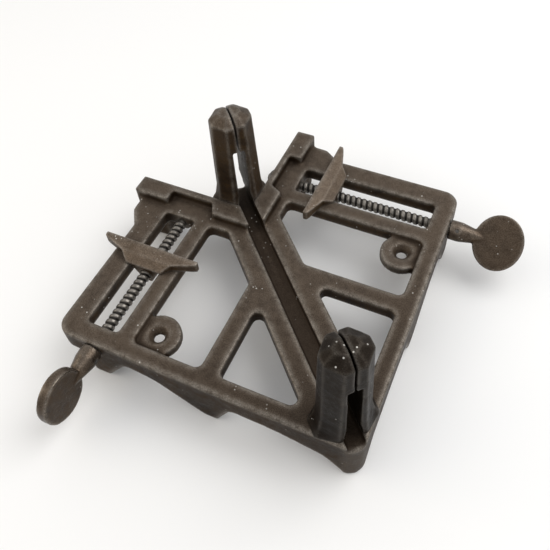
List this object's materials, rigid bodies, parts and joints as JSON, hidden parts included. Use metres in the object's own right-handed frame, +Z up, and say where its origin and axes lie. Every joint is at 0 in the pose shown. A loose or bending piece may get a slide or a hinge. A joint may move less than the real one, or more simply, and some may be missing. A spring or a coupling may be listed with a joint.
{
  "type": "picture framer's mitre vise",
  "caption": "Iron corner vise with two screw-driven jaws that press mouldings against fences, and slotted posts that guide a saw along the mitre.",
  "frame": {"origin": "centre of the bounding box, on the surface that the feet stand on", "axes": "+X along the front bar towards the saw's front post, +Y along the left arm from its screw's head towards its fence, +Z up"},
  "size_m": [0.328, 0.328, 0.142],
  "materials": {
    "bed_iron": "old dark-brown cast iron, worn and lightly rusted",
    "jaw_iron": "cast iron, polished by handling to a grey brown",
    "head_iron": "malleable iron, worn brighter on the rim",
    "screw_steel": "dark oily steel with brighter thread crests",
    "collar_steel": "dark turned steel",
    "pin_steel": "dull steel"
  },
  "bodies": {
    "bed": {"bed_casting": "bed_iron", "back_post_left": "bed_iron", "back_post_right": "bed_iron", "front_post_left": "bed_iron", "front_post_right": "bed_iron"},
    "left_screw": {"left_lead_screw": "screw_steel", "left_thumb_head": "head_iron", "left_head_pin": "pin_steel", "left_end_collar": "collar_steel", "left_collar_pin": "pin_steel"},
    "left_jaw": {"left_jaw": "jaw_iron"},
    "right_screw": {"right_lead_screw": "screw_steel", "right_thumb_head": "head_iron", "right_head_pin": "pin_steel", "right_end_collar": "collar_steel", "right_collar_pin": "pin_steel"},
    "right_jaw": {"right_jaw": "jaw_iron"}
  },
  "joints": [
    {"name": "left_screw_turn", "type": "hinge", "parent": "bed", "child": "left_screw", "pos_m": [-0.1144, -0.102, 0.038], "axis": [0, 1, 0], "range_deg": [-3080, 4105]},
    {"name": "left_jaw_slide", "type": "slide", "parent": "bed", "child": "left_jaw", "axis": [0, 1, 0], "range_m": [-0.058, 0.0435]},
    {"name": "right_screw_turn", "type": "hinge", "parent": "bed", "child": "right_screw", "pos_m": [0.102, 0.1144, 0.038], "axis": [-1, 0, 0], "range_deg": [-1380, 5805]},
    {"name": "right_jaw_slide", "type": "slide", "parent": "bed", "child": "right_jaw", "axis": [-1, 0, 0], "range_m": [-0.082, 0.0195]}
  ],
  "couplings": [
    {"joint": "left_jaw_slide", "follows": "left_screw_turn", "m_per_rad": -0.00080851},
    {"joint": "right_jaw_slide", "follows": "right_screw_turn", "m_per_rad": -0.00080851}
  ]
}
